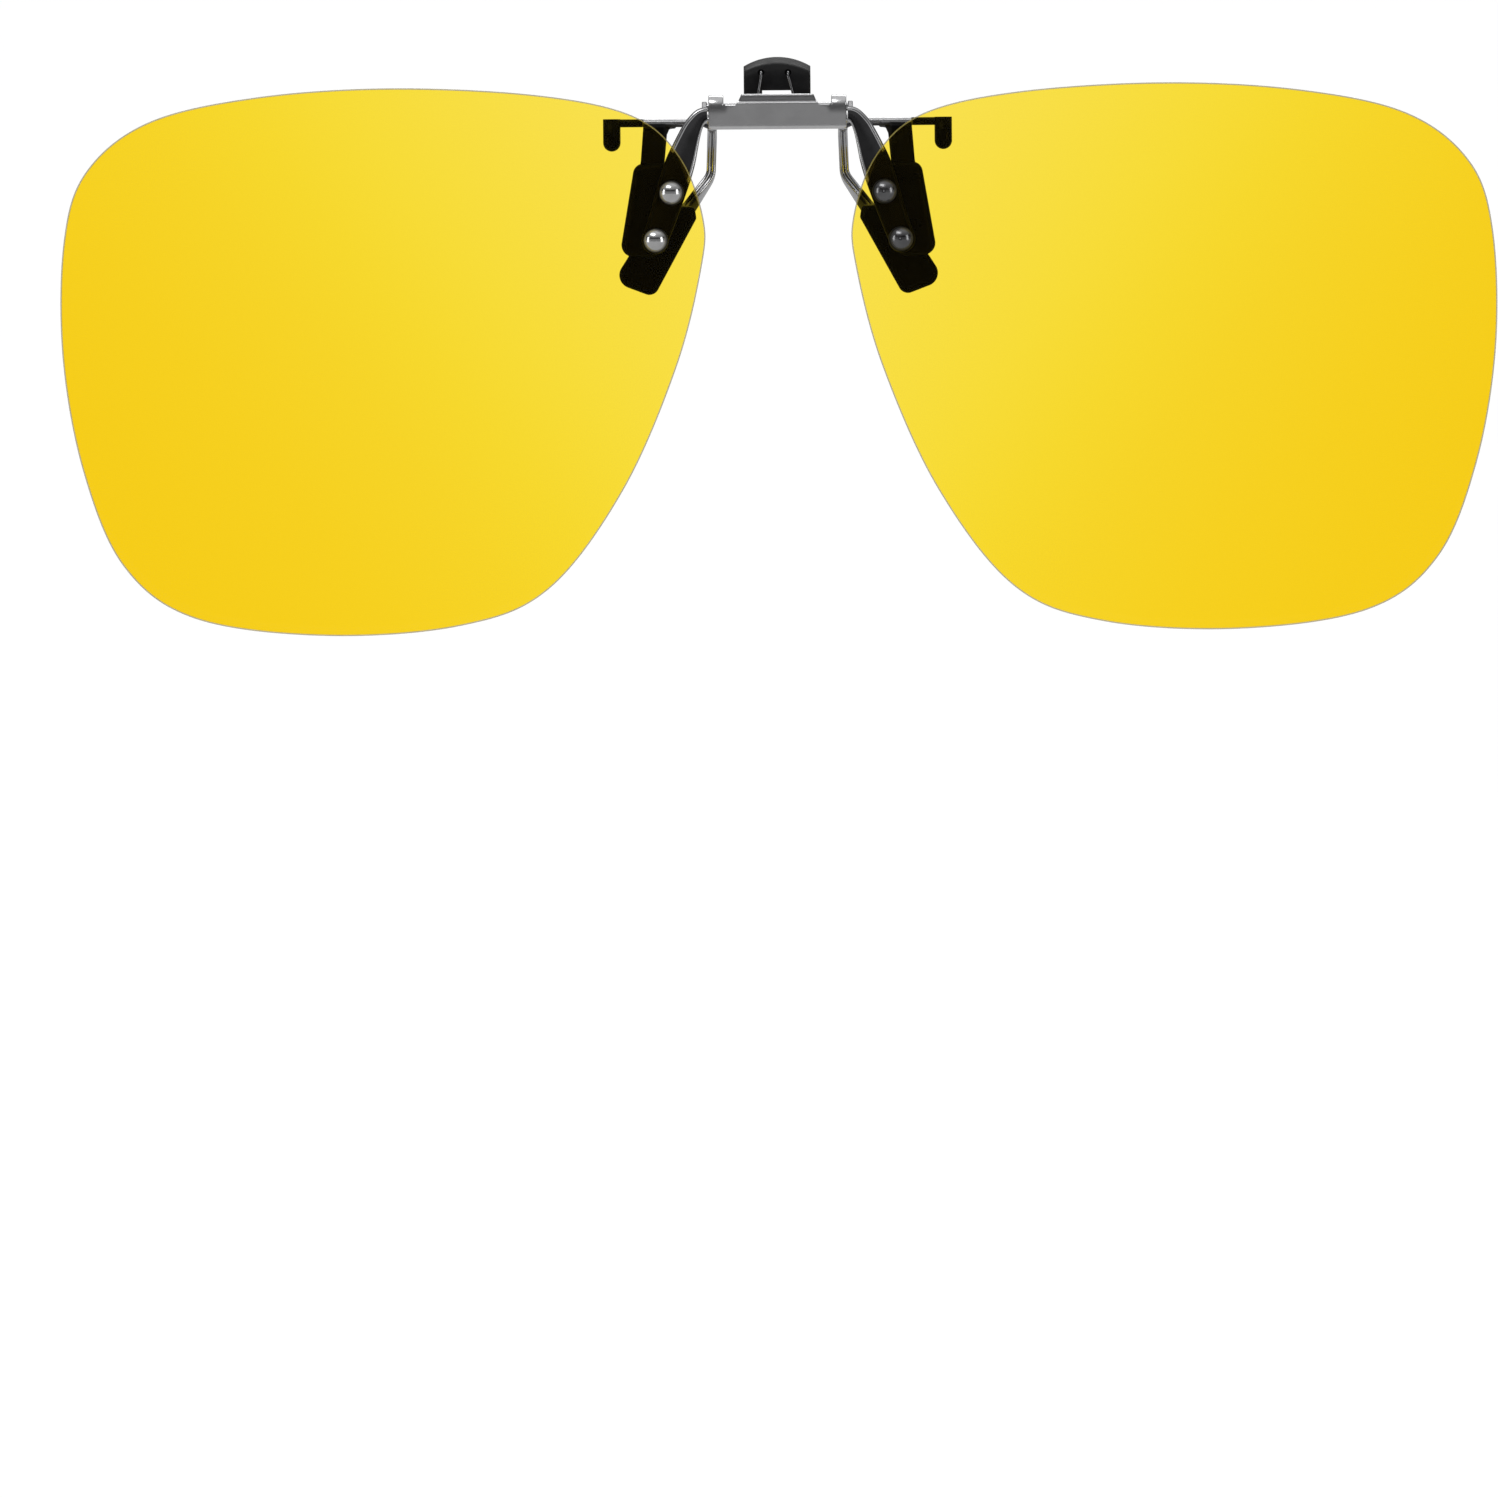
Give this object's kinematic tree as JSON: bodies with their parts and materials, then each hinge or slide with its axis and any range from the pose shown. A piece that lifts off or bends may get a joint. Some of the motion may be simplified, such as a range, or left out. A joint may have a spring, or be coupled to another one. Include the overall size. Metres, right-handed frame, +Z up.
{
  "type": "clip on flip lenses",
  "caption": "Clip-on tinted lenses that flip up on a shaft, held to spectacles by a sprung jaw with rubber-sleeved prongs and a press tab.",
  "frame": {"origin": "centre of the clamp rod, midway between the lenses: the axis the rear jaw swings about, at the top of the gap the spectacles go into", "axes": "+X towards the object's right-hand lens as seen from the front, +Y back towards the wearer, +Z up; the lenses hang down in front at -Y"},
  "size_m": [0.1436, 0.0131, 0.0576],
  "materials": {
    "clip_metal": "polished plated sheet steel and rod",
    "arm_metal": "dark plated sheet with bright edges",
    "spring_wire": "bright spring wire",
    "bright_rivet": "polished dome",
    "dark_rivet": "polished gunmetal dome",
    "black_rubber": "satin black sleeve",
    "black_plastic": "satin black",
    "yellow_lens": "clear yellow tint, polished"
  },
  "bodies": {
    "clip_frame": {"front_plate": "clip_metal", "jaw_bracket": "clip_metal", "front_pad_left": "black_rubber", "front_pad_right": "black_rubber", "torsion_spring_left": "spring_wire", "torsion_spring_right": "spring_wire"},
    "lens_carrier": {"flip_shaft": "clip_metal", "lens_arm_left": "arm_metal", "lens_arm_right": "arm_metal", "lens_left": "yellow_lens", "lens_right": "yellow_lens", "rivet_left_upper": "bright_rivet", "rivet_left_lower": "bright_rivet", "rivet_right_upper": "dark_rivet", "rivet_right_lower": "dark_rivet"},
    "rear_jaw": {"clamp_rod": "clip_metal", "hook_cap_left": "black_rubber", "hook_cap_right": "black_rubber", "tab_bracket": "clip_metal", "press_tab": "black_plastic", "rear_claw_left": "clip_metal", "rear_claw_right": "clip_metal", "rear_pad_left": "black_rubber", "rear_pad_right": "black_rubber"}
  },
  "joints": [
    {"name": "lens_flip", "type": "hinge", "parent": "clip_frame", "child": "lens_carrier", "pos_m": [0, -0.0029, 0.0015], "axis": [-1, 0, 0], "range_deg": [0, 90]},
    {"name": "jaw_open", "type": "hinge", "parent": "clip_frame", "child": "rear_jaw", "pos_m": [0, 0, 0], "axis": [1, 0, 0], "range_deg": [0, 25], "stiffness_Nm_per_rad": 0.03, "springref_deg": -28.65, "deforming": ["torsion_spring_left", "torsion_spring_right"]}
  ]
}
